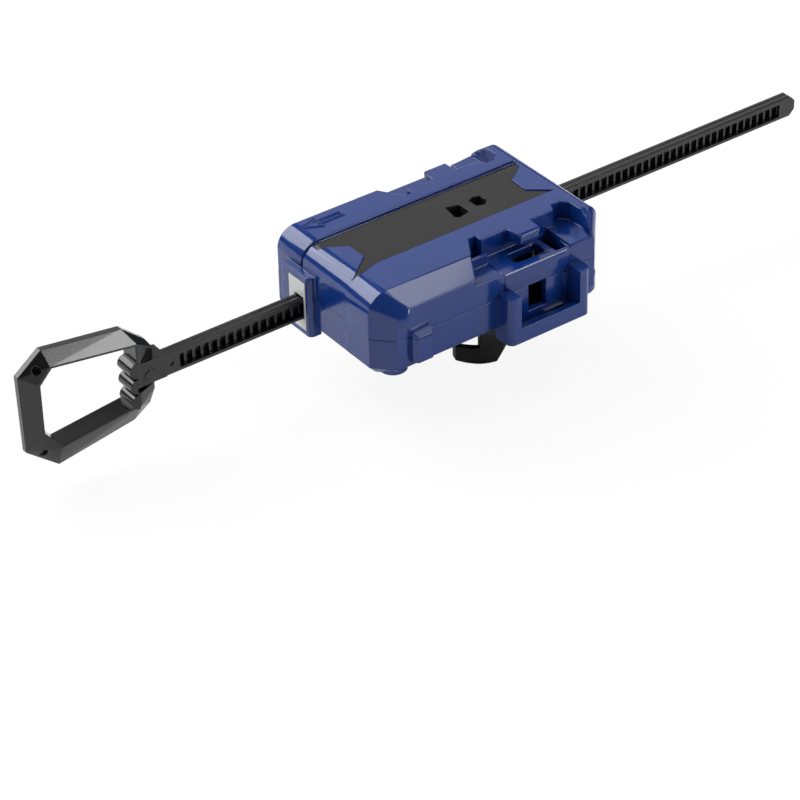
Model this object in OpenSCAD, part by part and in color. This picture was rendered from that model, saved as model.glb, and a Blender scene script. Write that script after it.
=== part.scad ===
// Winder launcher for a spinning top: a toothed strip with a pull ring runs through
// a two-part housing and turns a hooked chuck under it.
// +X runs from the pull ring to the strip's tail, +Z runs up from the chuck.
// The origin lies on the chuck's axis, in the mouth of its centre hole.

/* [Housing] */
// From the chuck axis back to the inlet end wall
back_reach = 53.6; // [52.5:0.1:56]
// From the chuck axis to the outlet end wall
front_reach = 27; // [26.8:0.1:29]
// Width across the side walls
body_w = 55.8; // [55.4:0.1:58]
// Height of the flat base above the chuck's face
base_z = 7.1; // [6.9:0.05:7.4]
// Height of the lower edge of the side walls
wall_low_z = 10.4; // [10:0.1:11]
// Height of the joint between the two shells
part_z = 19.9; // [19.7:0.1:20.5]
// Height where the sloping side bands start
shoulder_z = 29.2; // [28.8:0.1:29.8]
// Height of the top face
top_z = 33.5; // [33:0.1:35]
// Inset of the top face from the side walls
top_inset = 6; // [5:0.1:6.2]
// Inset of the base from the side walls
base_inset = 3.8; // [3:0.1:4]
// Inset of the base from the end walls
end_inset = 3.1; // [2.5:0.1:3.5]
// Cut across the upright corners, along the strip
corner_cut = 5.4; // [4:0.1:6]
// Radius of the side walls' upper corners
side_round = 4.6; // [3.5:0.1:5]
// Step by which the near part of the inlet end stands out
end_step = 0.5; // [0.3:0.1:0.7]
// Radius of the top edge at the inlet end
back_round = 6.2; // [4:0.1:7]
// Radius of the top edge at the outlet end
front_round = 4.4; // [3:0.1:5]
// Wall of both shells
wall = 2; // [1.8:0.1:2.2]
// Height of the raised floor round the chuck
nose_z = 9; // [8.8:0.05:9.1]
// From the chuck axis back to the step in the floor
nose_back = 17.1; // [16.5:0.1:19]

/* [Top details] */
// Depth of the groove that sets off the strip side
groove_depth = 1; // [0.6:0.1:1.2]
// Width of that groove
groove_w = 1.1; // [0.9:0.1:1.2]
// From the axis to that groove
groove_y = 10.45; // [10.45:0.05:10.6]
// Thickness of the top panel
panel_t = 1.2; // [0.8:0.1:1.5]
// Depth of the top panel below the top face
panel_sink = 0.3; // [0.15:0.05:0.4]
// Near edge of the top panel
panel_near = 8.9; // [8:0.1:9.5]
// Far edge of the top panel
panel_far = 9.8; // [9.5:0.1:9.8]
// Back end of the top panel
panel_back = 51.5; // [51:0.1:51.8]
// Front end of the top panel
panel_front = 22.4; // [21.8:0.1:22.5]
// Depth of the panel's two see-through tubes
tube_d = 5; // [3:0.1:5.5]
// Height of the moulded arrow
arrow_h = 0.3; // [0.2:0.1:0.5]
// Length of the moulded arrow
arrow_l = 13.5; // [10:0.1:14]

/* [Side recesses] */
// Floor of the recess in each top edge
shelf_z = 27; // [26.5:0.1:27.5]
// Depth of the recess from the side wall
shelf_d = 10.5; // [9.5:0.1:11]
// Back end of the recess
shelf_back = 21; // [20.5:0.1:21.5]
// Length of the recess
shelf_l = 42; // [41:0.1:42]
// Floor of the deep slots in the recess
trench_z = 24; // [23.6:0.1:25]
// Floor of the front end of the recess
scoop_z = 27.8; // [27.4:0.1:28.2]
// Width of the tab that stands in the recess
tab_w = 8.1; // [7:0.1:8.4]
// Reach of the tab from the recess's inner wall
tab_reach = 5.3; // [4:0.1:6]
// Thickness of the tab
tab_t = 3.1; // [2.5:0.1:3.4]
// Top of the low wall at the back end of the recess
low_wall_z = 30.5; // [29.5:0.1:31]

/* [Side brackets] */
// Back end of the bracket
bracket_back = 13.3; // [12:0.1:14]
// Front end of the bracket
bracket_front = 15.6; // [15:0.1:16]
// Reach of the bracket from the side wall
bracket_reach = 5.8; // [5.4:0.1:6.5]
// Lowest face of the bracket
bracket_low_z = 6.5; // [6.2:0.1:6.9]
// Top of the bracket's end posts
post_z = 21.9; // [20.5:0.1:22.5]
// Top of the bracket's front bar
bar_z = 11.4; // [10.8:0.1:12]
// Width of each end post
post_w = 3.9; // [3:0.1:4.2]
// Thickness of the bracket's front bar
bar_t = 1.8; // [1.5:0.1:2]
// Thickness of the bracket's floor
bracket_floor = 1.6; // [1.2:0.1:2]
// Radius of the bracket's outer corners
bracket_round = 2; // [1:0.1:2.5]

/* [Strip] */
// Near, toothed face of the strip from the chuck axis
strip_y = 6.8; // [6.7:0.05:7]
// Thickness of the strip
strip_t = 3.7; // [3.4:0.1:3.9]
// Height of the strip's middle
strip_z = 15.9; // [15.8:0.05:16]
// Height of the strip
strip_h = 6.8; // [6.6:0.1:6.9]
// Spacing of the pockets
pitch = 2.74; // [2.7:0.01:2.78]
// Thickness of the bars between the pockets
bar_w = 0.8; // [0.6:0.05:0.9]
// Number of pockets
pockets = 81; // [79:1:82]
// From the chuck axis to the first bar, at rest
first_bar = 97.2; // [96.5:0.1:98]
// From the chuck axis to the tip of the strip, at rest
tail_reach = 131; // [130:0.1:134]
// Thickness of the rail above the pockets
rail_h = 1.4; // [1.2:0.1:1.5]
// Thickness of the lip below the pockets
lip_h = 0.9; // [0.8:0.1:1.1]
// Depth of the pockets
pocket_d = 2.3; // [2.1:0.1:2.5]
// Depth of the channel that the pockets' bars stand back in
channel_d = 1; // [0.6:0.05:1.1]
// Height of the fine ridges on the rail
ridge_h = 0.25; // [0.15:0.05:0.3]
// Width of the fine ridges on the rail
ridge_w = 0.6; // [0.4:0.05:0.8]

/* [Pull ring] */
// From the chuck axis to the front end of the block that holds the strip
clamp_reach = 101.9; // [101.5:0.1:102.5]
// Length of that block in front of the ring
clamp_l = 2.9; // [2.6:0.1:3.2]
// Length of the ring
ring_l = 41.5; // [40:0.1:44]
// Height of the ring
ring_h = 38.3; // [36:0.1:39]
// Thickness of the ring at its outer edge
ring_edge_t = 1.8; // [1.4:0.1:2.2]
// Thickness of the ring at its inner edge
ring_t = 6.6; // [6:0.1:7]
// Width of the ring's bars
ring_bar = 5.4; // [5:0.1:6]
// Width of the grip bar next to the strip
grip_bar = 6.5; // [6:0.1:7]
// Radius of the finger ridges
knuckle_r = 2.3; // [2.1:0.1:2.4]
// Number of finger ridges
knuckles = 3; // [3:1:3]
// Height of that block
clamp_h = 7.3; // [7.1:0.1:7.8]
// Thickness of that block
clamp_t = 6.4; // [6.2:0.1:6.8]
// Radius of the rivet through it
rivet_r = 1.85; // [1.5:0.05:2]

/* [Chuck] */
// Radius of the chuck's face
chuck_r = 18.5; // [18.2:0.1:18.6]
// Radius of its centre hole
hub_r = 4.05; // [3.9:0.05:4.3]
// Thickness of its face
chuck_t = 2; // [1.8:0.1:2.1]
// Wall of the chuck's cup
cup_t = 1.5; // [1.3:0.1:1.6]
// Top of the chuck's cup
cup_z = 6.5; // [6.3:0.1:6.6]
// Radius of the chuck's flange
flange_r = 20.1; // [20:0.05:20.15]
// Thickness of the flange
flange_t = 1.4; // [1.2:0.1:1.6]
// Outer radius of the hooks
hook_r = 14.4; // [14:0.1:15]
// Thickness of the hooks
hook_t = 1.9; // [1.6:0.1:2.2]
// Depth of the hooks' tips below the face
hook_drop = 13.1; // [12:0.1:13.5]
// Depth of the gap under each hook
gap_drop = 7.6; // [7:0.1:8]
// Number of hooks
hooks = 3; // [3:1:3]
// Turn of the chuck at rest
chuck_turn = 223; // [200:1:240]
// Radius of the black ring round the chuck
collar_r = 21.65; // [21.5:0.05:22]
// Height of the ring's lower face
collar_z = 1.15; // [1:0.05:1.3]
// Thickness of the ring's lip
lip_t = 1.45; // [1.3:0.05:1.5]
// Radius of the ring's shoulder
collar_round = 1.3; // [0.8:0.1:1.4]
// Thickness of the washer under the flange
glide_t = 0.4; // [0.3:0.05:0.45]

/* [Drive] */
// Number of teeth on the gear
teeth = 18; // [18:1:18]
// Outer radius of the gear
gear_tip_r = 8.3; // [8.2:0.05:8.35]
// Root radius of the gear
gear_root_r = 6; // [5.8:0.1:6.2]
// Radius of the gear's lower sleeve
sleeve_r = 5; // [4.8:0.1:5.1]
// Radius of the steel spindle
spindle_r = 2; // [1.5:0.1:2.2]
// Radius of the clutch wheel
wheel_r = 15; // [14.5:0.1:15.2]
// Thickness of its plate
wheel_t = 1.2; // [1:0.1:1.3]
// Number of ratchet teeth
ratchets = 24; // [18:1:24]
// Radius over the ratchet teeth
ratchet_r = 13.6; // [13:0.1:13.7]
// Depth of the ratchet teeth
ratchet_d = 1.2; // [0.8:0.1:1.4]

/* [Fasteners] */
// Distance of the front screws along the strip
front_screw_x = 19.4; // [19:0.1:19.6]
// Distance of the rear screws from the inlet end wall
rear_inset = 8.5; // [8.1:0.1:9]
// Distance of all screws to each side
screw_y = 21.3; // [21:0.1:21.5]
// Radius of the screws' shanks
screw_r = 1.25; // [1:0.05:1.4]
// Radius of the screws' heads
head_r = 2.4; // [2.2:0.1:2.5]
// Thickness of the screws' heads
head_t = 1.3; // [1:0.1:1.5]
// Radius of the holes that the heads sit in
well_r = 2.75; // [2.6:0.05:2.9]

/* [Hidden] */
$fn = 64;

// Overrun of every cut
over = 0.5;
// Thickness of a plan that takes part in a hull
film = 0.05;
// Gap between pieces that move past each other
gap = 0.3;
// Clearance between pieces that stay together
fit = gap / 3;
// Running clearance of a shaft in its hole
run = 0.08;

half_w = body_w / 2;
rear_screw_x = back_reach - rear_inset;
ring_near = clamp_reach + clamp_l;
top_half = half_w - top_inset;
band_a = atan(top_inset / (top_z - shoulder_z));
skirt_a = atan(base_inset / (wall_low_z - base_z));
corner_a = atan(top_inset / corner_cut);

strip_top = strip_z + strip_h / 2;
strip_low = strip_z - strip_h / 2;
strip_far = strip_y + strip_t;
pocket_top = strip_top - rail_h;
pocket_low = strip_low + lip_h;

tail_bar = -first_bar + pockets * pitch;
pitch_r = teeth * pitch / 2 / PI;
// Middle of the pocket that lies nearest to the axis at rest
first_pocket = -first_bar + pitch / 2;
mesh_x = first_pocket - pitch * round(first_pocket / pitch);
gear_turn = -mesh_x / pitch_r * 180 / PI;
ear_a = atan(screw_y / front_screw_x);
ear_reach = norm([front_screw_x, screw_y]);

// Steps in the arcs of side outlines
arc_steps = 12;
// Near part of the inlet end, that stands out
step_y = 11;
// Low wall, tab and oblong slot of the recess
low_wall_back = 2.3;
low_wall_t = 1.2;
low_wall_share = 0.226;
tab_back = 1.9;
shelf_slot_back = 4.7;
shelf_slot_l = 10.8;
shelf_slot_far = 7.7;
shelf_slot_w = 5.2;
shelf_slot_r = 1.3;
// Raised band under the shelf
lip_back = 10.9;
lip_front = 11.8;
lip_proud = 0.5;
lip_low_z = 22.2;
// Grip rib near the inlet
rib_back = 44;
rib_front = 37.4;
rib_proud = 2.5;
rib_low_z = 12;
rib_z = 22.6;
// Wall inside the bracket: upright rib, window and small slot
upright_x = 10.3;
upright_w = 1;
upright_proud = 0.4;
window_back = 2.4;
window_w = 6.3;
small_slot_back = 8.5;
small_slot_w = 1.1;
small_slot_z = 16;
// Strip's inlet, its plate and its outlet
inlet_proud = 1.8;
inlet_near = 4;
inlet_far = 17.2;
inlet_z = 26.6;
inlet_round = 1.6;
plate_near = 5.8;
plate_far = 13.6;
plate_low = 8.8;
plate_high = 24.4;
plate_t = 1.5;
plate_proud = 0.2;
exit_far = 13.8;
exit_groove_w = 2.4;
// Pillars, bosses, ears, wells and ends of the screws
pillar_r = 3.3;
boss_r = 6.3;
boss_z = 8.1;
foot_r = 4.1;
foot_z = 6.8;
ear_r = 4.6;
ear_low_z = 7.8;
ear_mid_z = 4;
ear_top_z = 12.9;
well_z = 11.6;
rear_well_z = 13.5;
screw_end_z = 28;
front_screw_z = 24.6;
// Guide walls that keep the strip against the gear
guide_t = 1.5;
guide_half = 11;
// Bushes, their seats and the rib inside the chuck's cup
bush_r = 6.5;
seat_r = 9;
rib_r = 18.3;
column_r = 6;
upper_bush_r = 4;
bush_low_z = 21;
bush_top_z = 24;
// Spindle, its clip and washer
spindle_end = 26;
clip_room = 3;
clip_r = 3.6;
clip_t = 0.6;
clip_mouth = 3.2;
washer_t = 0.5;
// Arrow's tip, middle and line
arrow_tip = 47;
arrow_y = 18;
arrow_line = 0.6;
// Openings of the panel and the tubes round them
hole_back = 9.3;
hole_l = 5.2;
tube_t = 0.7;
// Strip's neck, rivet, dimple and tail
neck_l = 4.7;
neck_end = ring_near + neck_l;
rivet_inset = 2.3;
rivet_x = ring_near + rivet_inset;
dimple_r = 0.8;
dimple_d = 0.4;
dimple_inset = 2.4;
tail_share = 0.4;
// Pull ring: outline, hole, ridges, block and notch
ring_low = -2.1;
hole_low = 5.3;
hole_h = 25.7;
hole_rim = 0.65;
ring_hole_r = 1.2;
knuckle_low = 8.8;
knuckle_step = 5.1;
clamp_mid = 17;
notch_low_z = 11.6;
notch_l = 6.6;
// Gear's teeth
tooth_root = 1.5;
tooth_tip = 0.8;
// Clutch wheel and its socket
wheel_low = 2.4;
wheel_top = 6.2;
web_t = 0.8;
socket_r = 3;
scallop_r = 0.7;
scallop_count = 10;
// Hooks and the windows beside them
hook_window = 24;
hook_span = 93;
hook_mid_share = 0.3;
window_r_out = 15.4;
window_r_in = 11.4;
// Spring fingers
finger_t = 0.9;
finger_z = 4.2;
fingers = 3;
finger_span = 46;
// Ends of the slots in the bracket's floor, as shares of its length
floor_slot_shares = [[0.045, 0.356], [0.619, 0.899]];
// Blind holes in the pull ring's corners, as shares of its length and height
corner_hole_shares = [[0.875, 0.872], [0.875, 0.17]];
// Angles of a hook's corners, as shares of its span
hook_shares = [-0.15, 0.16, 0.38, 0.75];

// Points of an upper corner's round, from angle a0 to a1
function arc(x, z, r, a0, a1) =
    [for (i = [0:arc_steps]) let (a = a0 + (a1 - a0) * i / arc_steps) [x + r * cos(a), z + r * sin(a)]];

// Side outline between two end walls, under a top, with rounded upper corners
function side_points(x0, x1, low, top, rb, rf) =
    concat([[x0, low], [x1, low]], arc(x1 - rf, top - rf, rf, 0, 90), arc(x0 + rb, top - rb, rb, 90, 180));

module across_body(w) {
    rotate([90, 0, 0])
        linear_extrude(w, center = true)
            children();
}

// Housing drawn in by d on every face: a hull of its side outline, the one cut back
// towards the side walls, and the base
module form(d = 0) {
    x0 = -back_reach + d;
    x1 = front_reach - d;
    side = corner_cut + d * tan(corner_a / 2);
    low = wall_low_z + d * tan(skirt_a / 2);
    high = shoulder_z - d * tan(band_a / 2);
    inset = base_inset - d * (1 - tan(45 - skirt_a / 2));
    y0 = top_half - d * tan(corner_a / 2);
    y1 = half_w - d;
    difference() {
        hull() {
            across_body(2 * y0)
                polygon(side_points(x0, x1, low, top_z - d, back_round - d, front_round - d));
            across_body(2 * y1)
                polygon(side_points(
                    x0 + side, x1 - side, low, high,
                    side_round, side_round * front_round / back_round
                ));
            translate([0, 0, base_z + d])
                linear_extrude(film)
                    offset(delta = -inset)
                        plan(x0 + end_inset - base_inset, x1 - end_inset + base_inset, side, y0, y1);
        }
        // The inlet end stands back from its near part
        translate([0, half_w + over, 0])
            rotate([90, 0, 0])
                linear_extrude(half_w + over + step_y + d)
                    polygon(concat([[x0 - over, base_z], [x0 - over, top_z + over],
                                    [x0 + end_step + back_round - d, top_z + over]],
                                   arc(
                                        x0 + end_step + back_round - d,
                                        top_z - back_round, back_round - d, 90, 180
                                    ),
                                   [[x0 + end_step, base_z]]));
    }
}

// Plan with cut corners
module plan(x0, x1, side, y0, y1) {
    polygon([[x0, -y0], [x0 + side, -y1], [x1 - side, -y1], [x1, -y0],
             [x1, y0], [x1 - side, y1], [x0 + side, y1], [x0, y0]]);
}

// Outer skin of the housing down to depth d
module skin(d) {
    difference() {
        form(-over);
        form(d);
    }
}

// A block given by its lowest and highest corners
module block(a, b) {
    translate(a)
        cube(b - a);
}

// What follows, on both long sides
module both_sides() {
    children();
    mirror([0, 1, 0])
        children();
}

// What follows, at the pair of screws at x
module at_screws(x) {
    for (s = [-1, 1])
        translate([x, s * screw_y, 0])
            children();
}

module ring(r_out, r_in, h) {
    difference() {
        cylinder(r = r_out, h = h);
        translate([0, 0, -over])
            cylinder(r = r_in, h = h + 2 * over);
    }
}

// Plans of the recess in the top edge, as shares of its length and depth
pocket_shares = [
    [0, -0.1], [0, 0], [0.067, 0.571], [0.174, 1.24],
    [0.233, 1.24], [0.233, 1], [0.252, 0], [0.252, -0.1]
];
slot_shares = [[0.105, 0.8], [0.174, 1.24], [0.233, 1.24], [0.233, 0.8]];
shelf_shares = [[0.23, -0.1], [0.23, 1], [0.8, 1], [0.8, -0.1]];
scoop_shares = [[0.78, -0.1], [0.78, 1], [0.855, 1], [0.881, 1.24], [0.948, 1.24], [0.998, 1], [1, 0.571],
                [0.983, 0], [0.983, -0.1]];
trench_shares = [[0.7, 0.12], [0.69, 0.98], [0.8, 0.98], [0.79, 0.12]];
tab_shares = [[-0.02, -0.4], [0, 0.75], [0.12, 1], [0.93, 1], [1, 0.9], [1.03, -0.4]];

module recess_plan(shares, z0, z1) {
    translate([0, 0, z0])
        linear_extrude(z1 - z0)
            polygon([for (p = shares) [-shelf_back + p[0] * shelf_l, -half_w + p[1] * shelf_d]]);
}

// Recess in the top edge on the -Y side, with the low wall and the tab left standing in it
module side_recess() {
    inner = -half_w + shelf_d;
    difference() {
        union() {
            recess_plan(pocket_shares, shelf_z + gap, top_z + over);
            recess_plan(slot_shares, trench_z, top_z + over);
            recess_plan(shelf_shares, shelf_z, top_z + over);
            recess_plan(scoop_shares, scoop_z, top_z + over);
            recess_plan(trench_shares, trench_z, top_z + over);
        }
        // Low wall
        block([-shelf_back, inner - low_wall_back - low_wall_t, shelf_z - over],
              [-shelf_back + shelf_l * low_wall_share, inner - low_wall_back, low_wall_z]);
        // Tab over the shelf
        translate([-tab_back, inner, top_z - tab_t])
            linear_extrude(tab_t + 2 * over)
                polygon([for (p = tab_shares) [p[0] * tab_w, -p[1] * tab_reach]]);
    }
    // Oblong slot through the shelf
    translate([0, 0, trench_z - wall - over])
        linear_extrude(shelf_z - trench_z + wall + 2 * over)
            offset(r = shelf_slot_r)
                translate([-shelf_slot_back + shelf_slot_r, inner - shelf_slot_far + shelf_slot_r])
                    square([shelf_slot_l - 2 * shelf_slot_r, shelf_slot_w - 2 * shelf_slot_r]);
}

module recess_backing() {
    inner = -half_w + shelf_d;
    block(
        [-shelf_back - wall, -half_w, shelf_z - wall],
        [-shelf_back + shelf_l + wall, inner + 2 * wall, top_z]
    );
    block(
        [-shelf_back + wall, -half_w, trench_z - wall],
        [-shelf_back + shelf_l * shelf_shares[2][0] + wall, inner + 2 * wall, shelf_z]
    );
}

// Raised band under the shelf, with a sloping upper edge
module shelf_lip() {
    translate([-lip_back, 0, 0])
        rotate([90, 0, 90])
            linear_extrude(lip_back + lip_front)
                polygon([[-half_w + wall / 2, lip_low_z], [-half_w - lip_proud, lip_low_z],
                         [-half_w - lip_proud, shelf_z - 2 * lip_proud], [-half_w, shelf_z],
                         [-half_w + wall / 2, shelf_z]]);
}

// U-shaped bracket on the -Y side
module bracket() {
    out = -half_w - bracket_reach;
    difference() {
        union() {
            block(
                [-bracket_back, out + bracket_round, bracket_low_z],
                [bracket_front, -half_w + wall, post_z]
            );
            block([-bracket_back + bracket_round, out, bracket_low_z],
                  [bracket_front - bracket_round, out + 2 * bracket_round, post_z]);
            for (x = [-bracket_back + bracket_round, bracket_front - bracket_round])
                translate([x, out + bracket_round, bracket_low_z])
                    cylinder(r = bracket_round, h = post_z - bracket_low_z);
        }
        // Room inside, open at the top
        block([-bracket_back + post_w, out + bar_t, bracket_low_z + bracket_floor],
              [bracket_front - post_w, -half_w, post_z + over]);
        // Open front above the bar
        block([-bracket_back + post_w, out - over, bar_z], [bracket_front - post_w, -half_w, post_z + over]);
        // Two slots in the floor with a rib between them
        for (x = floor_slot_shares * (bracket_back + bracket_front))
            block([x[0] - bracket_back, out + bar_t, bracket_low_z - over],
                  [x[1] - bracket_back, -half_w - bar_t / 2, bracket_low_z + bracket_floor + over]);
    }
    // Upright rib on the wall inside
    block([upright_x, -half_w - upright_proud, bracket_low_z + bracket_floor - over],
          [upright_x + upright_w, -half_w + wall / 2, part_z - gap]);
}

// Raised block round the strip's inlet
module inlet_block() {
    x = -back_reach - inlet_proud;
    difference() {
        union() {
            block([x, inlet_near + inlet_round, base_z], [-back_reach + wall, inlet_far, inlet_z]);
            block([x + inlet_round, inlet_near, base_z], [-back_reach + wall, inlet_far, inlet_z]);
            translate([x + inlet_round, inlet_near + inlet_round, base_z])
                cylinder(r = inlet_round, h = inlet_z - base_z);
        }
        block([x - over, plate_near - fit, plate_low - fit],
              [x + plate_t - plate_proud, plate_far + fit, plate_high + fit]);
    }
}

// Way of the strip through the housing
module strip_way() {
    block([-back_reach - inlet_proud - over, strip_y - gap, strip_low - gap],
          [-back_reach + 2 * wall, strip_far + gap, strip_top + gap]);
    block([front_reach - 2 * wall, strip_y - gap, strip_low - gap],
          [front_reach + over, exit_far, strip_top + gap]);
    block([front_reach - wall / 2, exit_far - exit_groove_w, strip_low - gap],
          [front_reach + over, exit_far, shoulder_z]);
}

// Pillar inside the shells that a screw runs through

// Guide walls that keep the strip against the gear

module bottom_shell() {
    color("royalblue")
    difference() {
        union() {
            difference() {
                form();
                difference() {
                    form(wall);
                    // Floor round the chuck
                    block([-collar_r - wall, -half_w, base_z], [front_reach, half_w, nose_z + wall]);
                    // Seat of the lower bush
                    cylinder(r = seat_r, h = strip_low - gap);
                    at_screws(front_screw_x)
                        cylinder(r = boss_r, h = ear_top_z + wall);
                    for (x = [front_screw_x, -rear_screw_x])
                        at_screws(x)
                            cylinder(r = foot_r, h = part_z);
                    // Guide walls and the rib that the strip slides on
                    block(
                        [-back_reach, strip_far + gap, base_z],
                        [front_reach, strip_far + gap + guide_t, part_z]
                    );
                    block(
                        [-back_reach, strip_y - gap - guide_t, base_z],
                        [-guide_half, strip_y - gap, part_z]
                    );
                    block(
                        [guide_half, strip_y - gap - guide_t, base_z],
                        [front_reach, strip_y - gap, part_z]
                    );
                    block(
                        [-back_reach, strip_y + gap, base_z],
                        [front_reach, strip_far - gap, strip_low - gap]
                    );
                }
            }
            inlet_block();
            both_sides()
                bracket();
            at_screws(front_screw_x)
                translate([0, 0, boss_z])
                    cylinder(r = boss_r, h = ear_top_z - boss_z);
            at_screws(-rear_screw_x)
                translate([0, 0, foot_z])
                    cylinder(r = foot_r, h = rear_well_z - foot_z);
            front_rib();
        }
        // Recess of the floor round the chuck, open at the front
        difference() {
            union() {
                block([-nose_back, -half_w - over, 0], [front_reach + over, half_w + over, nose_z]);
                cylinder(r = collar_r + fit, h = nose_z);
            }
            at_screws(front_screw_x)
                cylinder(r = boss_r, h = nose_z + over);
            both_sides()
                block(
                    [-bracket_back, -half_w - bracket_reach, 0],
                    [bracket_front, -half_w + wall / 2, nose_z + over]
                );
            translate([0, 0, cup_z + gap])
                ring(rib_r, rib_r - cup_t + gap, nose_z - cup_z);
        }
        // Way of the ring's ears through the bosses
        for (s = [-1, 1])
            rotate(s * ear_a)
                block([collar_r - over, -ear_r - fit, 0], [ear_reach, ear_r + fit, nose_z]);
        cylinder(r = bush_r, h = part_z);
        block([-back_reach - inlet_proud - over, -half_w - over - rib_proud, part_z],
              [-bracket_back - over, half_w + over, top_z]);
        block([-bracket_back - 2 * over, -half_w - over, part_z], [front_reach + over, half_w + over, top_z]);
        block([-bracket_back - over, -half_w, part_z], [bracket_front + over, half_w, top_z]);
        strip_way();
        // Wells, ear pockets and screw holes
        at_screws(front_screw_x) {
            cylinder(r = ear_r + fit, h = ear_top_z);
            cylinder(r = screw_r + fit, h = part_z + over);
        }
        at_screws(-rear_screw_x) {
            cylinder(r = well_r, h = rear_well_z);
            cylinder(r = screw_r + fit, h = part_z + over);
        }
        // Window in each side wall inside the bracket
        both_sides()
            block(
                [-window_back, -half_w - over, bar_z],
                [-window_back + window_w, -half_w + wall + over, part_z + over]
            );
        // Small slot beside the window
        both_sides()
            block([-small_slot_back, -half_w - over, small_slot_z],
                  [-small_slot_back + small_slot_w, -half_w + wall / 2, part_z + over]);
    }
    color("royalblue")
        both_sides()
            post_tops();
}

// Upper ends of the bracket's posts, beside the upper shell
module post_tops() {
    intersection() {
        bracket();
        block([-bracket_back - over, -half_w - bracket_reach - over, part_z],
              [bracket_front + over, -half_w - fit, post_z + over]);
    }
}

// Grip rib on the side wall near the inlet, with a sloping top and cut edges
module front_rib() {
    y = -half_w - rib_proud;
    c = rib_proud / 2;
    intersection() {
        translate([-rib_back, 0, 0])
            rotate([90, 0, 90])
                linear_extrude(rib_back - rib_front)
                    polygon([[-half_w + over, rib_low_z], [y, rib_low_z], [y, rib_z - rib_proud],
                             [y + c, rib_z - rib_proud / 3], [-half_w, rib_z], [-half_w + over, rib_z]]);
        linear_extrude(top_z)
            polygon([[-rib_back, -half_w + over], [-rib_back, y + c], [-rib_back + c, y],
                     [-rib_front - c / 2, y], [-rib_front, y + c / 2], [-rib_front, -half_w + over]]);
    }
}

module top_shell() {
    color("royalblue")
    difference() {
        union() {
            difference() {
                form();
                difference() {
                    form(wall);
                    both_sides()
                        recess_backing();
                    // Column over the gear
                    cylinder(r = column_r, h = top_z);
                    for (x = [front_screw_x, -rear_screw_x])
                        at_screws(x)
                            cylinder(r = pillar_r, h = top_z);
                    // Rib that holds the strip down
                    block(
                        [-back_reach, strip_y + gap, strip_top + gap],
                        [front_reach, strip_far - gap, top_z]
                    );
                }
            }
            inlet_block();
            both_sides()
                shelf_lip();
            intersection() {
                front_rib();
                block([-rib_back, -half_w - rib_proud, part_z], [-rib_front, -half_w + over, rib_z]);
            }
        }
        block([-back_reach - inlet_proud - over, -half_w - rib_proud - over, base_z - over],
              [front_reach + over, half_w + over, part_z]);
        both_sides()
            side_recess();
        strip_way();
        // Seat of the panel
        intersection() {
            skin(panel_t + panel_sink);
            translate([0, 0, shoulder_z])
                linear_extrude(top_z)
                    panel_outline();
        }
        // Groove round the strip side
        intersection() {
            skin(groove_depth);
            block([-back_reach - over, groove_y - groove_w / 2, inlet_z],
                  [front_reach - front_round, groove_y + groove_w / 2, top_z + over]);
        }
        // Openings for the panel's tubes
        translate([0, 0, part_z])
            linear_extrude(top_z)
                panel_holes(tube_t + fit);
        // Seat of the upper bush, room for the clip, and the screw holes
        translate([0, 0, part_z])
            cylinder(r = upper_bush_r, h = bush_top_z - part_z);
        translate([0, 0, bush_top_z - over])
            cylinder(r = clip_r + gap, h = clip_room + over);
        translate([0, 0, part_z - over])
            cylinder(r = column_r + over, h = bush_low_z - part_z + over);
        at_screws(front_screw_x)
            cylinder(r = screw_r, h = front_screw_z);
        at_screws(-rear_screw_x)
            cylinder(r = screw_r, h = screw_end_z);
    }
    // Moulded arrow on the strip side
    color("royalblue")
        translate([-arrow_tip, arrow_y, top_z - over])
            linear_extrude(arrow_h + over)
                difference() {
                    arrow();
                    offset(delta = -arrow_line)
                        arrow();
                }
}

// Plain arrow at the inlet, as shares of its length
arrow_shares = [[0, 0], [0.4, 0.2], [0.4, 0.09], [1, 0.09], [1, -0.09], [0.4, -0.09], [0.4, -0.2]];

module arrow() {
    polygon(arrow_l * arrow_shares);
}

// Plan of the panel, as shares of its length and width
panel_shares = [[0.026, 1], [0.028, 0.877], [0.07, 0.775], [0.13, 0.626], [0.13, 0.257], [0.035, -0.048],
                [0, -0.107], [0.047, -0.107], [0.119, -0.021], [0.135, 0], [0.986, 0], [0.905, 0.257],
                [0.909, 0.626], [0.97, 0.791], [1, 0.893], [1, 1]];

module panel_outline() {
    polygon([for (p = panel_shares) [-panel_back + p[0] * (panel_back + panel_front),
                                     -panel_near + p[1] * (panel_near + panel_far)]]);
}

// Plans of the two see-through openings, as shares of the wider one's length
wide_shares = [[0.18, 0.55], [0.95, 0.3], [1, -0.5], [0.86, -0.62], [0.2, -0.75], [0, -0.55]];
narrow_shares = [[1.62, 0.34], [1.98, 0.5], [2.4, 0.36], [2.46, -0.24], [2.1, -0.52], [1.66, -0.36]];

module panel_holes(d) {
    offset(delta = d)
        for (t = [wide_shares, narrow_shares])
            polygon([for (p = t) [-hole_back + p[0] * hole_l, p[1] * hole_l]]);
}

module top_panel() {
    low = top_z - panel_sink - tube_d;
    color([0.24, 0.24, 0.24])
    difference() {
        union() {
            intersection() {
                difference() {
                    form(panel_sink);
                    form(panel_t + panel_sink);
                }
                translate([0, 0, shoulder_z])
                    linear_extrude(top_z)
                        offset(delta = -fit / 2)
                            panel_outline();
            }
            translate([0, 0, low])
                linear_extrude(tube_d - panel_t / 2)
                    panel_holes(tube_t);
        }
        translate([0, 0, low - over])
            linear_extrude(top_z)
                panel_holes(0);
    }
}

module inlet_plate() {
    x = -back_reach - inlet_proud - plate_proud;
    color("lightgray")
    difference() {
        block([x, plate_near, plate_low], [x + plate_t, plate_far, plate_high]);
        block(
            [x - over, strip_y - gap, strip_low - gap],
            [x + plate_t + over, strip_far + gap, strip_top + gap]
        );
    }
}

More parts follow.
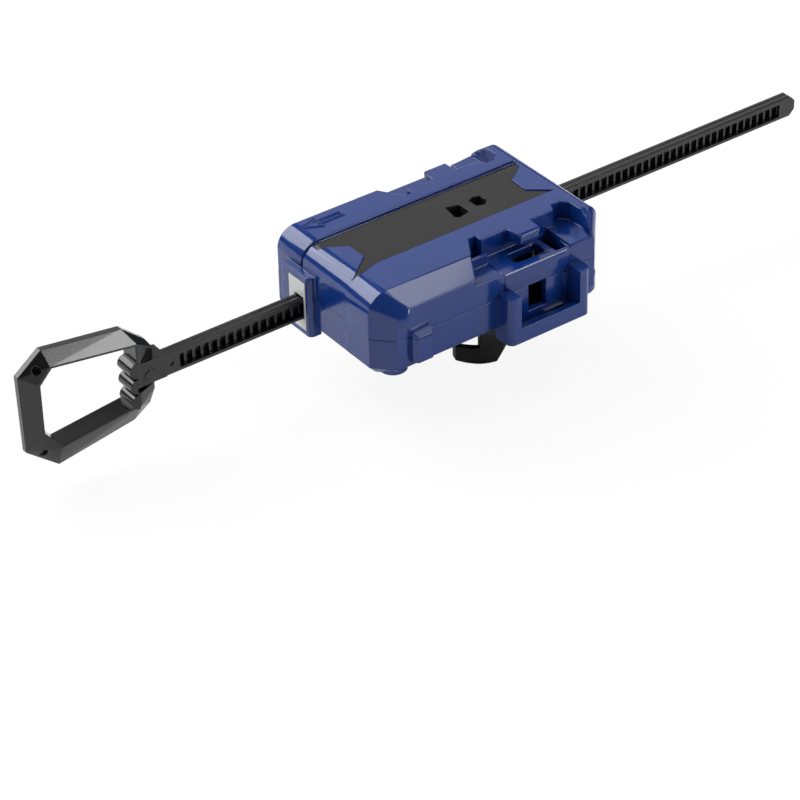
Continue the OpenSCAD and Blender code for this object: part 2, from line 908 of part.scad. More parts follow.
// Black ring that holds the chuck, with an ear at each front screw
module collar() {
    color([0.06, 0.06, 0.06])
    difference() {
        union() {
            rotate_extrude()
                difference() {
                    translate([0, collar_z])
                        square([collar_r, nose_z - collar_z]);
                    translate([collar_r - collar_round, collar_z])
                        difference() {
                            translate([0, -over])
                                square([collar_round + over, collar_round + over]);
                            translate([0, collar_round])
                                circle(collar_round);
                        }
                }
            for (s = [-1, 1])
                rotate(s * ear_a) {
                    block([collar_r - over, -ear_r, ear_mid_z], [ear_reach - ear_r, ear_r, nose_z]);
                    block([collar_r - over, -ear_r, ear_low_z], [ear_reach, ear_r, nose_z]);
                    translate([ear_reach, 0, ear_low_z])
                        cylinder(r = ear_r, h = ear_top_z - ear_low_z);
                }
        }
        cylinder(r = chuck_r + gap, h = part_z);
        translate([0, 0, collar_z + lip_t])
            cylinder(r = flange_r + gap, h = part_z);
        at_screws(front_screw_x) {
            cylinder(r = well_r, h = well_z);
            cylinder(r = screw_r + fit, h = part_z);
        }
    }
}

module screw(seat, end) {
    translate([0, 0, seat - head_t])
        cylinder(r = head_r, h = head_t);
    translate([0, 0, seat - over])
        cylinder(r = screw_r, h = end - seat + over);
}

module collar_screws() {
    color("silver")
        at_screws(front_screw_x)
            screw(well_z, front_screw_z);
}

module shell_screws() {
    color("silver")
        at_screws(-rear_screw_x)
            screw(rear_well_z, screw_end_z);
}

module upper_bush() {
    color("ivory")
        translate([0, 0, bush_low_z])
            ring(upper_bush_r, spindle_r + run, bush_top_z - bush_low_z);
}

module lower_bush() {
    color("ivory")
        translate([0, 0, nose_z])
            ring(bush_r, sleeve_r + run, pocket_low - nose_z);
}

module glide_washer() {
    color("gainsboro")
        translate([0, 0, collar_z + lip_t])
            ring(flange_r + run, chuck_r + gap, glide_t);
}

// Toothed strip with a plain neck and a pointed tail
module strip() {
    color([0.15, 0.15, 0.16])
    difference() {
        union() {
            block([-neck_end, strip_y, strip_low], [-clamp_reach, strip_far, strip_top]);
            translate([-clamp_reach - over, 0, 0])
                rotate([90, 0, 90])
                    linear_extrude(tail_reach + clamp_reach + over)
                        strip_section();
        }
        // Channel that the bars stand back in
        block(
            [-first_bar + bar_w / 2, strip_y - over, pocket_low],
            [tail_bar, strip_y + channel_d, pocket_top]
        );
        // Pockets that the gear's teeth enter
        for (i = [0:pockets - 1])
            translate([-first_bar + i * pitch, 0, 0])
                block(
                    [bar_w / 2, strip_y - over, pocket_low],
                    [pitch - bar_w / 2, strip_y + pocket_d, pocket_top]
                );
        // Pointed tail
        for (s = [-1, 1])
            translate([tail_reach, 0, strip_z + s * strip_h / 2])
                rotate([90, 45, 0])
                    cube(
                        [strip_h * tail_share, strip_h * tail_share, 2 * strip_far + 2 * over],
                        center = true
                    );
        // Hole for the rivet and the step that the block grips
        translate([-rivet_x, strip_y - over, strip_z])
            rotate([-90, 0, 0])
                cylinder(r = rivet_r, h = strip_t + 2 * over);
        // Dimple in the neck
        translate([-clamp_reach + dimple_inset, strip_y - over, strip_z])
            rotate([-90, 0, 0])
                cylinder(r = dimple_r, h = over + dimple_d);
    }
}

// Section of the strip: rail, web and lip, with two ridges and a shallow back groove
module strip_section() {
    difference() {
        union() {
            translate([strip_y, strip_low])
                square([strip_t, strip_h - ridge_h]);
            for (y = [strip_y + ridge_w, strip_far - 2 * ridge_w])
                translate([y, strip_top - 2 * ridge_h])
                    square([ridge_w, 2 * ridge_h]);
        }
        translate([strip_far - ridge_h, pocket_low])
            square([over, pocket_top - pocket_low]);
    }
}

// Outline of the pull ring, drawn in by d, as shares of its length and height
ring_shares = [[0, 0.305], [0.043, 0.2], [0.17, 0.105], [0.76, 0], [0.99, 0.21],
               [1, 0.845], [0.815, 1], [0.22, 0.91], [0.05, 0.75], [0, 0.665]];
hole_shares = [[0, 0.105], [0.83, 0], [1, 0.24], [1, 0.84], [0.87, 1], [0, 0.85]];

module ring_outline(d) {
    polygon([for (p = ring_shares) [-ring_near - d - p[0] * (ring_l - 2 * d),
                                    ring_low + d + p[1] * (ring_h - 2 * d)]]);
}

module ring_hole(d) {
    x = -ring_near - grip_bar + d;
    l = ring_l - grip_bar - ring_bar + 2 * d;
    h = hole_h + 2 * d;
    polygon([for (p = hole_shares) [x - p[0] * l, hole_low - d + p[1] * h]]);
}

module across(t) {
    translate([0, (strip_y + strip_far) / 2 + t / 2, 0])
        rotate([90, 0, 0])
            linear_extrude(t)
                children();
}

module pull_ring() {
    mid_y = (strip_y + strip_far) / 2;
    color([0.13, 0.13, 0.14])
    difference() {
        union() {
            difference() {
                hull() {
                    across(ring_edge_t)
                        ring_outline(0);
                    across(ring_t)
                        ring_hole(hole_rim);
                }
                across(ring_t + 2 * over)
                    ring_hole(0);
                // Blind holes in the corners
                for (c = corner_hole_shares)
                    translate([-ring_near - c[0] * ring_l, mid_y - ring_t, ring_low + c[1] * ring_h])
                        rotate([-90, 0, 0])
                            cylinder(r = ring_hole_r, h = ring_t - ring_edge_t / 2);
            }
            // Finger ridges
            intersection() {
                for (i = [0:knuckles - 1])
                    translate([-ring_near - grip_bar, mid_y + ring_t / 2, knuckle_low + i * knuckle_step])
                        rotate([90, 0, 0])
                            cylinder(r = knuckle_r, h = ring_t);
                block([-ring_near - ring_l, mid_y - ring_t, ring_low],
                      [-ring_near - grip_bar + hole_rim / 2, mid_y + ring_t, ring_low + ring_h]);
            }
            // Block that holds the strip's neck
            block([-ring_near - grip_bar, mid_y - clamp_t / 2, clamp_mid - clamp_h / 2],
                  [-clamp_reach, mid_y + clamp_t / 2, clamp_mid + clamp_h / 2]);
        }
        // Notch under the block
        block([-ring_near - notch_l, mid_y - ring_t, notch_low_z],
              [-ring_near + over, mid_y + ring_t, clamp_mid - clamp_h / 2]);
        // Slot for the neck
        block([-neck_end - fit, strip_y - fit / 2, strip_low - fit / 2],
              [-clamp_reach + over, strip_far + fit / 2, strip_top + fit / 2]);
        translate([-rivet_x, mid_y - ring_t, strip_z])
            rotate([-90, 0, 0])
                cylinder(r = rivet_r, h = 2 * ring_t);
    }
}

module rivet() {
    color([0.2, 0.2, 0.2])
        translate([-rivet_x, (strip_y + strip_far - clamp_t - gap) / 2, strip_z])
            rotate([-90, 0, 0])
                cylinder(r = rivet_r, h = clamp_t + gap);
}

// Tapered tooth of the gear, as a plan outline
module gear_plan() {
    circle(gear_root_r);
    for (i = [0:teeth - 1])
        rotate(90 + gear_turn + i * 360 / teeth)
            polygon([[gear_root_r / 2, -tooth_root / 2], [gear_root_r, -tooth_root / 2],
                     [gear_tip_r, -tooth_tip / 2], [gear_tip_r, tooth_tip / 2],
                     [gear_root_r, tooth_root / 2], [gear_root_r / 2, tooth_root / 2]]);
}

module drive_gear() {
    color("ivory")
    difference() {
        union() {
            translate([0, 0, pocket_low + gap])
                linear_extrude(pocket_top - pocket_low - 2 * gap)
                    gear_plan();
            translate([0, 0, wheel_top])
                cylinder(r = sleeve_r, h = pocket_low + gap - wheel_top + over);
            translate([0, 0, pocket_top - gap - over])
                cylinder(r = sleeve_r, h = bush_low_z - gap - washer_t - pocket_top + gap + over);
        }
        cylinder(r = spindle_r, h = top_z);
    }
}

module gear_washer() {
    color("silver")
        translate([0, 0, bush_low_z - gap - washer_t])
            ring(upper_bush_r, spindle_r, washer_t);
}

module spindle() {
    color("silver")
        translate([0, 0, wheel_top - web_t])
            cylinder(r = spindle_r, h = spindle_end - wheel_top + web_t);
}

module spindle_clip() {
    color("silver")
        translate([0, 0, bush_top_z + gap])
            difference() {
                ring(clip_r, spindle_r, clip_t);
                block([0, -clip_mouth / 2, -over], [clip_r + over, clip_mouth / 2, clip_t + over]);
            }
}

// White clutch wheel: plate, ratchet teeth and a scalloped socket
module clutch_wheel() {
    color("white")
    difference() {
        union() {
            translate([0, 0, wheel_low])
                cylinder(r = wheel_r, h = wheel_t);
            translate([0, 0, wheel_low])
                linear_extrude(wheel_top - wheel_low - gap)
                    difference() {
                        ratchet_plan();
                        circle(ratchet_r - 2 * ratchet_d);
                    }
            translate([0, 0, wheel_low])
                cylinder(r = sleeve_r, h = wheel_top - wheel_low);
        }
        translate([0, 0, wheel_low - over])
            linear_extrude(wheel_top - web_t - wheel_low + over)
                scallops();
        cylinder(r = spindle_r, h = top_z);
    }
}

// Saw-toothed outline of the clutch wheel
module ratchet_plan() {
    a = 360 / ratchets;
    root = ratchet_r - ratchet_d;
    rotate(chuck_turn)
        polygon([for (i = [0:ratchets - 1]) each [[ratchet_r * cos(i * a), ratchet_r * sin(i * a)],
                                                  [root * cos((i + 1) * a), root * sin((i + 1) * a)]]]);
}

module scallops() {
    circle(socket_r);
    for (i = [0:scallop_count - 1])
        rotate(i * 360 / scallop_count)
            translate([socket_r, 0])
                circle(scallop_r, $fn = 24);
}

// Hook wall on a cylinder, cut to shape from its middle; angles run from its window's middle

module hook() {
    mid = hook_span * hook_mid_share;
    function t(a) = hook_r * sin(a - mid);
    a = hook_span * hook_shares;
    intersection() {
        translate([0, 0, -hook_drop])
            ring(hook_r, hook_r - hook_t, hook_drop + chuck_t / 2);
        rotate(mid)
            rotate([90, 0, 90])
                linear_extrude(2 * hook_r)
                    polygon([[t(a[0]), -gap_drop], [t(a[1]), -gap_drop],
                             [t(a[1]), chuck_t / 2], [t(a[3]), chuck_t / 2],
                             [t(a[3]), -hook_t], [t(a[2]), -hook_drop], [t(a[1]), -hook_drop],
                             [t(a[0]), -hook_drop + hook_t / 3]]);
    }
}

module chuck() {
    cup_in = chuck_r - cup_t;
    flange_z = collar_z + lip_t + glide_t + fit;
    color([0.06, 0.06, 0.06])
    rotate(chuck_turn)
    difference() {
        union() {
            ring(chuck_r, hub_r, chuck_t);
            ring(chuck_r, cup_in, cup_z);
            translate([0, 0, flange_z])
                ring(flange_r, cup_in, flange_t);
            for (i = [0:hooks - 1])
                rotate(i * 360 / hooks)
                    hook();
        }
        // Window beside each hook
        for (i = [0:hooks - 1])
            rotate(i * 360 / hooks)
                intersection() {
                    translate([0, 0, -over])
                        ring(window_r_out, window_r_in, chuck_t + 2 * over);
                    translate([0, 0, -2 * over])
                        linear_extrude(chuck_t + 4 * over)
                            polygon([[0, 0],
                                     [chuck_r * cos(hook_window / 2), -chuck_r * sin(hook_window / 2)],
                                     [2 * chuck_r, 0],
                                     [chuck_r * cos(hook_window / 2), chuck_r * sin(hook_window / 2)]]);
                }
    }
}

// Spring fingers that let the chuck run on when the strip stops
module ratchet_ring() {
    r_out = chuck_r - cup_t - fit;
    r_in = r_out - finger_t;
    color([0.35, 0.35, 0.37])
    rotate(chuck_turn) {
        translate([0, 0, chuck_t])
            ring(r_out, r_in, wheel_top - gap - chuck_t);
        for (i = [0:fingers - 1])
            rotate(i * 360 / fingers)
                translate([0, 0, finger_z])
                    linear_extrude(wheel_top - gap - finger_z)
                        finger();
    }
}

module finger() {
    r1 = chuck_r - cup_t - fit - finger_t / 2;
    difference() {
        intersection() {
            difference() {
                circle(r1);
                circle(ratchet_r + gap);
            }
            polygon([
                [0, 0],
                [2 * chuck_r, 0],
                [2 * chuck_r * cos(finger_span), 2 * chuck_r * sin(finger_span)]
            ]);
        }
        intersection() {
            difference() {
                circle(r1 + over);
                circle(r1 - finger_t);
            }
            rotate(-finger_span / 4)
                polygon([[0, 0], [2 * chuck_r, 0],
                         [2 * chuck_r * cos(finger_span), 2 * chuck_r * sin(finger_span)]]);
        }
        intersection() {
            circle(ratchet_r + gap + finger_t / 2);
            rotate(finger_span / 6)
                polygon([[0, 0], [2 * chuck_r, 0],
                         [2 * chuck_r * cos(finger_span), 2 * chuck_r * sin(finger_span)]]);
        }
    }
}

top_shell();
bottom_shell();
top_panel();
inlet_plate();
collar();
collar_screws();
shell_screws();
upper_bush();
lower_bush();
glide_washer();
strip();
pull_ring();
rivet();
drive_gear();
clutch_wheel();
spindle();
spindle_clip();
gear_washer();
chuck();
ratchet_ring();
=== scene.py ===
import math
import bmesh
import bpy
from mathutils import Matrix, Vector


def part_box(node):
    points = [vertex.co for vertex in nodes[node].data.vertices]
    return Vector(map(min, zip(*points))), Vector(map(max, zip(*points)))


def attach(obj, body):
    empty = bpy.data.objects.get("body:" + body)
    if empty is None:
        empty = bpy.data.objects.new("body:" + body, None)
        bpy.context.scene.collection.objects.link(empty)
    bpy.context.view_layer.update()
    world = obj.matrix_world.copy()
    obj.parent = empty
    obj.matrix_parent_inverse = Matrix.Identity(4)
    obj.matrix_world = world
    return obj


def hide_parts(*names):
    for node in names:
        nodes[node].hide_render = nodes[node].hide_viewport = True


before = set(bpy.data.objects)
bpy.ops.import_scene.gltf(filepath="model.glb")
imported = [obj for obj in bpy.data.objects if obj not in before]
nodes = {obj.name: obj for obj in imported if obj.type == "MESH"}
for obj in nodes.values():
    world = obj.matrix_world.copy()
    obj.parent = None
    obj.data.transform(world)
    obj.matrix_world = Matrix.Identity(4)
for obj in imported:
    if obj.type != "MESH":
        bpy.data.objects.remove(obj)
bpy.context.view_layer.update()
mm = 0.001
print("frame loaded")

# camera, placed by the photograph's perspective
view = {
    "lens": 136.65,
    "sensor": 36,
    "shift": (-0.0475, -0.1488),
    "far": 20,
    "place": (-0.44935, -0.58564, 0.48789),
    "right": (0.79772, -0.60292, -0.01108),
    "up": (0.33683, 0.43027, 0.83750),
    "back": (-0.50018, -0.67183, 0.54632),
}
lens = bpy.data.cameras.new("camera")
lens.sensor_width = view["sensor"]
lens.lens = view["lens"]
lens.shift_x, lens.shift_y = view["shift"]
lens.clip_end = view["far"]
camera = bpy.data.objects.new("camera", lens)
bpy.context.scene.collection.objects.link(camera)
turn = Matrix((view["right"], view["up"], view["back"])).transposed().to_4x4()
camera.matrix_world = Matrix.Translation(view["place"]) @ turn
bpy.context.scene.camera = camera


class Port:
    # an output socket that adds, subtracts and multiplies as a value
    def __init__(self, tree, socket):
        self.tree = tree
        self.socket = socket

    def joined(self, kind, other, flip=False):
        pair = (other, self) if flip else (self, other)
        return self.tree.add("ShaderNodeMath", {"operation": kind}, {0: pair[0], 1: pair[1]})

    def __add__(self, other):
        return self.joined("ADD", other)

    def __sub__(self, other):
        return self.joined("SUBTRACT", other)

    def __rsub__(self, other):
        return self.joined("SUBTRACT", other, True)

    def __mul__(self, other):
        return self.joined("MULTIPLY", other)

    def above(self, other):
        return self.joined("GREATER_THAN", other)

    def below(self, other):
        return self.joined("LESS_THAN", other)

    def size(self):
        return self.tree.add("ShaderNodeMath", {"operation": "ABSOLUTE"}, {0: self})

    def between(self, low, high, start=0.0, stop=1.0):
        return self.tree.add(
            "ShaderNodeMapRange", {"clamp": True}, {0: self, 1: low, 2: high, 3: start, 4: stop}
        )


class Tree:
    # a material's nodes, added with their settings, values and links in one call
    def __init__(self, name):
        self.material = bpy.data.materials.new(name)
        self.material.use_nodes = True
        self.links = self.material.node_tree.links
        self.kinds = self.material.node_tree.nodes
        self.surface = self.kinds["Principled BSDF"]

    def add(self, kind, settings=None, sockets=None, out=0):
        node = self.kinds.new(kind)
        for key, value in (settings or {}).items():
            setattr(node, key, value)
        for key, value in (sockets or {}).items():
            self.fill(node.inputs[key], value)
        return Port(self, node.outputs[out])

    def fill(self, socket, value):
        if isinstance(value, Port):
            self.links.new(value.socket, socket)
        else:
            socket.default_value = value

    def set(self, **sockets):
        for key, value in sockets.items():
            self.fill(self.surface.inputs[key.replace("_", " ")], value)

    def place(self):
        return self.add("ShaderNodeTexCoord", out=3)

    def apart(self, vector):
        node = self.kinds.new("ShaderNodeSeparateXYZ")
        self.fill(node.inputs[0], vector)
        return [Port(self, socket) for socket in node.outputs]

    def noise(self, scale, detail, rough=0.5, vector=None):
        place = vector or self.place()
        sockets = {"Vector": place, "Scale": scale, "Detail": detail, "Roughness": rough}
        return self.add("ShaderNodeTexNoise", {}, sockets)

    def blend(self, amount, first, second):
        node = self.kinds.new("ShaderNodeMix")
        node.data_type = "RGBA"
        self.fill(node.inputs[0], amount)
        self.fill(node.inputs[6], first)
        self.fill(node.inputs[7], second)
        return Port(self, node.outputs[2])

    def edges(self, reach):
        # 1 on an edge that a bevel of this reach would round, 0 on the flat
        soft = self.add("ShaderNodeBevel", {"samples": 4}, {"Radius": reach})
        flat = self.add("ShaderNodeNewGeometry", out=3)
        node = self.kinds.new("ShaderNodeVectorMath")
        node.operation = "DOT_PRODUCT"
        self.fill(node.inputs[0], soft)
        self.fill(node.inputs[1], flat)
        return 1.0 - Port(self, node.outputs["Value"])

    def bump(self, height, strength, reach):
        # grain of the surface, on edges rounded by this reach
        soft = self.add("ShaderNodeBevel", {"samples": 6}, {"Radius": reach})
        sockets = {"Height": height, "Strength": strength, "Distance": 0.03 * mm, "Normal": soft}
        return self.add("ShaderNodeBump", {}, sockets)


def moulded(name, plan):
    # moulded plastic: fine grain in the surface, a slow change of tone, paler edges as a painted
    # highlight, light scuffs
    tree = Tree(name)
    rough = plan["rough"]
    slow = tree.noise(38.0, 3.0, 0.55)
    specks = tree.noise(2600.0, 2.0, 0.6)
    edge = tree.edges(plan["reach"] * 1.6).between(0.03, 0.45)
    toned = tree.blend(slow.between(0.35, 0.68) * 0.35, plan["colour"], plan["pale"])
    # painted highlight: edges blended towards the pale colour
    base = tree.blend(edge * plan.get("edge_highlight", 0.3), toned, plan["pale"])
    gloss = slow.between(0.3, 0.7, rough * 0.85, rough * 1.15) + specks * (rough * 0.12)
    scuffs = plan.get("scuffs", 0)
    if scuffs:
        stretch = {"Vector": tree.place(), "Rotation": (0.3, 0.5, 0.7), "Scale": (1, 9, 2)}
        lines = tree.noise(420.0, 4.0, 0.7, tree.add("ShaderNodeMapping", {}, stretch))
        rubbed = lines.between(0.62, 0.72) * tree.noise(55.0, 2.0).between(0.52, 0.66)
        base = tree.blend(rubbed * scuffs, base, (0.22, 0.22, 0.22, 1))
        gloss = gloss + rubbed * (scuffs * 0.5)
    inner = plan.get("inner")
    if inner:
        # painted shade for the unlit inside of a hollow piece: its base colour is darkened nearly to black
        # within a box whose corners are cut off
        x, y, z = tree.apart(tree.place())
        along = (x - inner["middle"]).size()
        painted_shade_mask = along.below(inner["long"]) * y.size().below(inner["wide"])
        painted_shade_mask = painted_shade_mask * z.above(inner["low"]) * z.below(inner["high"])
        painted_shade_mask = painted_shade_mask * (along + y.size()).below(inner["corner"])
        # painted shade: the base colour blended towards black inside the box
        base = tree.blend(painted_shade_mask * 0.9, base, (0, 0, 0, 1))
    tree.set(Base_Color=base, Roughness=gloss)
    tree.set(Normal=tree.bump(specks + slow * 0.6, plan["grain"], plan["reach"]))
    return tree


blue = moulded("bluePlastic", {
    "colour": (0.004, 0.029, 0.175, 1),
    "pale": (0.008, 0.041, 0.225, 1),
    "rough": 0.12,
    "reach": 0.35 * mm,
    "grain": 0.06,
    # painted shade inside the housing: the box within which the blue is darkened
    "inner": {
        "middle": -13.3 * mm,
        "long": 38 * mm,
        "wide": 25.6 * mm,
        "low": 9.4 * mm,
        "high": 24.6 * mm,
        "corner": 57 * mm,
    },
})
panel = moulded("satinPanel", {
    "colour": (0.018, 0.0175, 0.018, 1),
    "pale": (0.028, 0.027, 0.027, 1),
    "rough": 0.36,
    "reach": 0.12 * mm,
    "grain": 0.35,
})
panel.set(Specular_IOR_Level=0.35)
greyPlate = moulded("greyPlate", {
    "colour": (0.58, 0.60, 0.61, 1),
    "pale": (0.66, 0.68, 0.69, 1),
    "rough": 0.35,
    "reach": 0.15 * mm,
    "grain": 0.2,
})
gloss = moulded("glossBlack", {
    "colour": (0.006, 0.0058, 0.0055, 1),
    "pale": (0.012, 0.0115, 0.011, 1),
    "rough": 0.14,
    "reach": 0.3 * mm,
    "grain": 0.1,
})
strip = moulded("stripBlack", {
    "colour": (0.004, 0.004, 0.0043, 1),
    "pale": (0.02, 0.02, 0.021, 1),
    "rough": 0.17,
    "reach": 0.22 * mm,
    "grain": 0.15,
    # a stronger painted highlight on the strip's edges
    "edge_highlight": 0.6,
    "scuffs": 0.1,
})
ring = moulded("ringBlack", {
    "colour": (0.004, 0.004, 0.0043, 1),
    "pale": (0.01, 0.01, 0.0105, 1),
    "rough": 0.15,
    "reach": 0.35 * mm,
    "grain": 0.15,
    "scuffs": 0.35,
})
white = moulded("whitePlastic", {
    "colour": (0.70, 0.70, 0.68, 1),
    "pale": (0.80, 0.80, 0.78, 1),
    "rough": 0.38,
    "reach": 0.15 * mm,
    "grain": 0.2,
})
wheel = moulded("wheelWhite", {
    "colour": (0.62, 0.62, 0.60, 1),
    "pale": (0.72, 0.72, 0.70, 1),
    "rough": 0.36,
    "reach": 0.15 * mm,
    "grain": 0.2,
})
greyPlastic = moulded("greyPlastic", {
    "colour": (0.20, 0.20, 0.20, 1),
    "pale": (0.28, 0.28, 0.28, 1),
    "rough": 0.42,
    "reach": 0.15 * mm,
    "grain": 0.3,
})
steel = Tree("steel")
brushed = steel.noise(900.0, 3.0, 0.6)
bright = steel.blend(brushed.between(0.3, 0.7), (0.42, 0.42, 0.43, 1), (0.60, 0.60, 0.61, 1))
steel.set(Base_Color=bright, Metallic=1.0, Roughness=brushed.between(0.3, 0.7, 0.22, 0.38))
steel.set(Normal=steel.bump(brushed, 0.15, 0.1 * mm))
print("materials made")

finishes = {
    "top_shell": blue,
    "bottom_shell": blue,
    "top_panel": panel,
    "inlet_plate": greyPlate,
    "collar": gloss,
    "collar_screws": steel,
    "shell_screws": steel,
    "strip": strip,
    "pull_ring": ring,
    "rivet": ring,
    "chuck": gloss,
    "clutch_wheel": wheel,
    "drive_gear": white,
    "spindle": steel,
    "spindle_clip": steel,
    "gear_washer": steel,
    "upper_bush": white,
    "lower_bush": white,
    "glide_washer": steel,
    "ratchet_ring": greyPlastic,
}
for name, tree in finishes.items():
    node = nodes[name]
    if not node.material_slots:
        node.data.materials.append(tree.material)
    for place in node.material_slots:
        place.material = tree.material


def alone(piece):
    bpy.ops.object.select_all(action="DESELECT")
    piece.select_set(True)
    bpy.context.view_layer.objects.active = piece


def settle(piece, name, body, slot, tree, *replaced):
    # name a finished piece, give it its material and tie it to its body
    piece.name = name
    piece.data.name = name
    piece.data.materials.clear()
    piece.data.materials.append(tree.material)
    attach(piece, body)
    if replaced:
        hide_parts(*replaced)


# moulded pieces get real rounded edges: a copy of the solid, merged, its long sharp edges bevelled
rounds = {
    "top_shell": {"name": "upperHousing", "slot": "blue_shell", "reach": 0.3 * mm},
    "top_panel": {"name": "topPanel", "slot": "satin_panel", "reach": 0.15 * mm},
    "inlet_plate": {"name": "inletPlate", "slot": "grey_plate", "reach": 0.15 * mm},
}
edging = {
    "merge": 0.002 * mm,
    "shortest": 0.9 * mm,
    "sharp": math.radians(35),
    "steps": 2,
    "smooth": math.radians(28),
}
for node, plan in rounds.items():
    piece = bpy.data.objects.new(plan["name"], nodes[node].data.copy())
    bpy.context.scene.collection.objects.link(piece)
    alone(piece)
    bpy.ops.object.mode_set(mode="EDIT")
    bpy.ops.mesh.select_all(action="SELECT")
    bpy.ops.mesh.remove_doubles(threshold=edging["merge"])
    bpy.ops.object.mode_set(mode="OBJECT")
    shape = bmesh.new()
    shape.from_mesh(piece.data)
    weight = shape.edges.layers.float.new("bevel_weight_edge")
    for edge in shape.edges:
        if len(edge.link_faces) == 2 and edge.calc_length() > edging["shortest"]:
            edge[weight] = float(edge.calc_face_angle() > edging["sharp"])
    shape.to_mesh(piece.data)
    shape.free()
    soft = piece.modifiers.new("edges", "BEVEL")
    soft.width = plan["reach"]
    soft.segments = edging["steps"]
    soft.limit_method = "WEIGHT"
    soft.use_clamp_overlap = False
    bpy.ops.object.modifier_apply(modifier=soft.name)
    bpy.ops.object.shade_smooth_by_angle(angle=edging["smooth"])
    flats = piece.modifiers.new("flats", "WEIGHTED_NORMAL")
    flats.keep_sharp = True
    bpy.ops.object.modifier_apply(modifier=flats.name)
    settle(piece, plan["name"], "housing", plan["slot"], finishes[node], node)
print("edges rounded")

# screws: pan heads with a cross recess, in place of the plain ones
screws = {"collar_screws": "collarScrews", "shell_screws": "shellScrews"}
screw = {
    "thick": 1.3 * mm,
    "shank": 1.25 * mm,
    "seat": 0.9,
    "dome": 0.45 * mm,
    "cut": 0.6 * mm,
    "reach": 3.0 * mm,
    "deep": 0.85 * mm,
    "turns": (20, 110),
    "smooth": math.radians(30),
}
for node, name in screws.items():
    low, high = (Vector(corner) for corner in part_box(node))
    radius = (high.x - low.x) / 2
    made = []
    for y in (low.y + radius, high.y - radius):
        face = Vector((low.x + radius, y, low.z))
        centre = face + Vector((0, 0, screw["thick"] / 2))
        bpy.ops.object.select_all(action="DESELECT")
        bpy.ops.mesh.primitive_cylinder_add(
            vertices=48, radius=radius, depth=screw["thick"], location=centre
        )
        head = bpy.context.object
        bpy.ops.object.transform_apply(location=True)
        bpy.ops.object.mode_set(mode="EDIT")
        bpy.ops.mesh.select_mode(type="FACE")
        bpy.ops.mesh.select_all(action="DESELECT")
        bpy.ops.object.mode_set(mode="OBJECT")
        for side in head.data.polygons:
            side.select = side.normal.z < -0.9
        bpy.ops.object.mode_set(mode="EDIT")
        bpy.ops.mesh.region_to_loop()
        bpy.ops.mesh.bevel(offset=screw["dome"], segments=4, affect="EDGES")
        bpy.ops.object.mode_set(mode="OBJECT")
        for turn in screw["turns"]:
            bpy.ops.mesh.primitive_cube_add(size=1, location=face, rotation=(0, 0, math.radians(turn)))
            cutter = bpy.context.object
            cutter.scale = (screw["reach"], screw["cut"], 2 * screw["deep"])
            bpy.ops.object.transform_apply(location=True, rotation=True, scale=True)
            alone(head)
            recess = head.modifiers.new("recess", "BOOLEAN")
            recess.object = cutter
            recess.solver = "EXACT"
            bpy.ops.object.modifier_apply(modifier=recess.name)
            bpy.data.objects.remove(cutter)
        seat = low.z + screw["thick"] * screw["seat"]
        bpy.ops.object.select_all(action="DESELECT")
        bpy.ops.mesh.primitive_cylinder_add(
            vertices=32,
            radius=screw["shank"],
            depth=high.z - seat,
            location=(face.x, y, (high.z + seat) / 2),
        )
        shank = bpy.context.object
        bpy.ops.object.transform_apply(location=True)
        made += [head, shank]
    bpy.ops.object.select_all(action="DESELECT")
    for part in made:
        part.select_set(True)
    bpy.context.view_layer.objects.active = made[0]
    bpy.ops.object.join()
    bpy.ops.object.shade_smooth_by_angle(angle=screw["smooth"])
    settle(made[0], name, "housing", "steel", steel, node)
print("screws made")

# floor: a white sheet under the hooks' tips, tilted to pass under the handle at every pull
under = {"side": 6, "tip": (-0.005, 0, -0.0133), "lean": math.radians(2.2), "seen": 0.9}
bpy.ops.object.select_all(action="DESELECT")
bpy.ops.mesh.primitive_grid_add(x_subdivisions=4, y_subdivisions=4, size=under["side"], location=(0, 0, 0))
floor = bpy.context.object
floor.name = "floor"
floor.data.transform(Matrix.Translation(under["tip"]) @ Matrix.Rotation(under["lean"], 4, "Y"))
paper = Tree("paper")
grain = paper.noise(60.0, 3.0)
paper.set(Base_Color=paper.blend(grain, (0.95, 0.95, 0.95, 1), (0.97, 0.97, 0.97, 1)), Roughness=0.6)
paper.set(Specular_IOR_Level=0.0)
# to the camera the sheet is mostly white of itself, which keeps only a faint shadow
seen = paper.add("ShaderNodeLightPath")
glow = paper.add("ShaderNodeEmission", {}, {"Color": (1, 1, 1, 1), "Strength": 1.0})
lit = Port(paper, paper.surface.outputs[0])
sheet = paper.add("ShaderNodeMixShader", {}, {0: seen * under["seen"], 1: lit, 2: glow})
paper.links.new(sheet.socket, paper.kinds["Material Output"].inputs["Surface"])
floor.data.materials.append(paper.material)

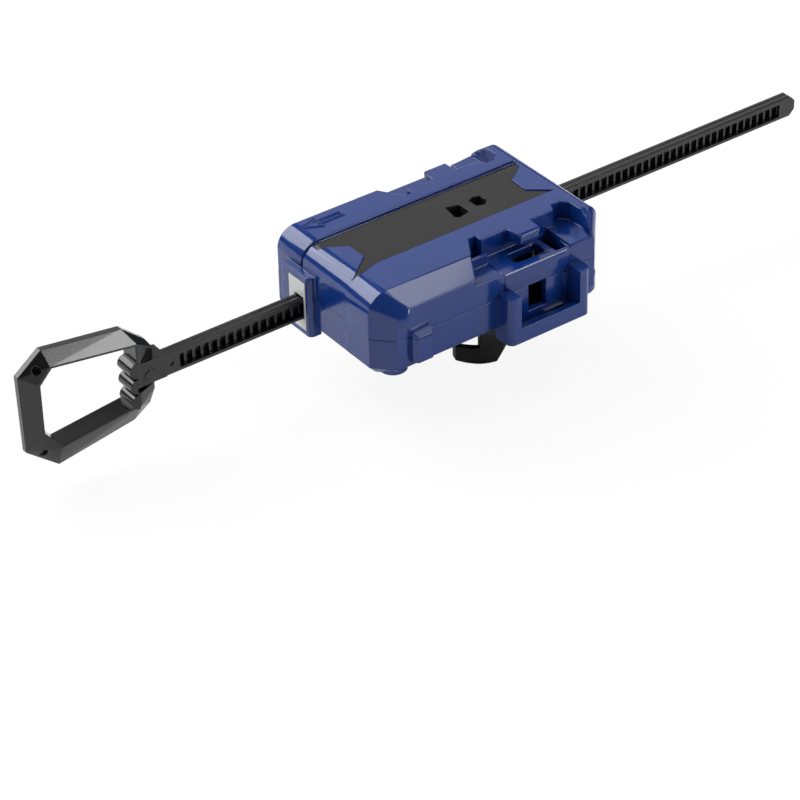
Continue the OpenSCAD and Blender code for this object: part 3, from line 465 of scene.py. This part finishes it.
# room: white to the camera, dimmer as light
world = bpy.data.worlds.new("room")
bpy.context.scene.world = world
world.use_nodes = True
sky = world.node_tree
backdrop = sky.nodes["Background"]
clear = sky.nodes.new("ShaderNodeBackground")
for part, strength in ((backdrop, 0.13), (clear, 1.0)):
    part.inputs["Color"].default_value = (1, 1, 1, 1)
    part.inputs["Strength"].default_value = strength
path = sky.nodes.new("ShaderNodeLightPath")
choice = sky.nodes.new("ShaderNodeMixShader")
sky.links.new(path.outputs["Is Camera Ray"], choice.inputs[0])
sky.links.new(backdrop.outputs[0], choice.inputs[1])
sky.links.new(clear.outputs[0], choice.inputs[2])
sky.links.new(choice.outputs[0], sky.nodes["World Output"].inputs["Surface"])

# lamps: the direction each stands in from the housing, its distance, its sides and its brightness
lamps = {
    "backSheet": {"way": (0.8, 0.5, 0.58), "far": 1.6, "sides": (1.5, 0.8), "bright": 0.8},
    "backLeft": {"way": (-0.3, 0.7, 0.66), "far": 1.2, "sides": (1.0, 0.9), "bright": 6.0},
    "rightFront": {"way": (0.46, -0.84, 0.205), "far": 1.2, "sides": (0.34, 0.2), "bright": 11.0},
    "rightFill": {"way": (0.7, -0.6, 0.5), "far": 1.3, "sides": (0.9, 0.7), "bright": 1.8},
    "bandLight": {"way": (0.4, -0.3, 0.87), "far": 1.3, "sides": (0.38, 0.38), "bright": 5.0},
    "overhead": {"way": (-0.3, 0.2, 1.0), "far": 1.1, "sides": (0.7, 0.7), "bright": 1.2},
}
middle = Vector((-0.03, 0, 0.02))
for name, plan in lamps.items():
    light = bpy.data.lights.new(name, "AREA")
    light.shape = "RECTANGLE"
    light.size, light.size_y = plan["sides"]
    light.energy = plan["bright"] * math.pi * light.size * light.size_y
    lamp = bpy.data.objects.new(name, light)
    bpy.context.scene.collection.objects.link(lamp)
    lamp.location = middle + plan["far"] * Vector(plan["way"]).normalized()
    lamp.rotation_euler = (middle - lamp.location).to_track_quat("-Z", "Y").to_euler()
print("room and lamps set")

bpy.context.scene.view_settings.view_transform = "Standard"
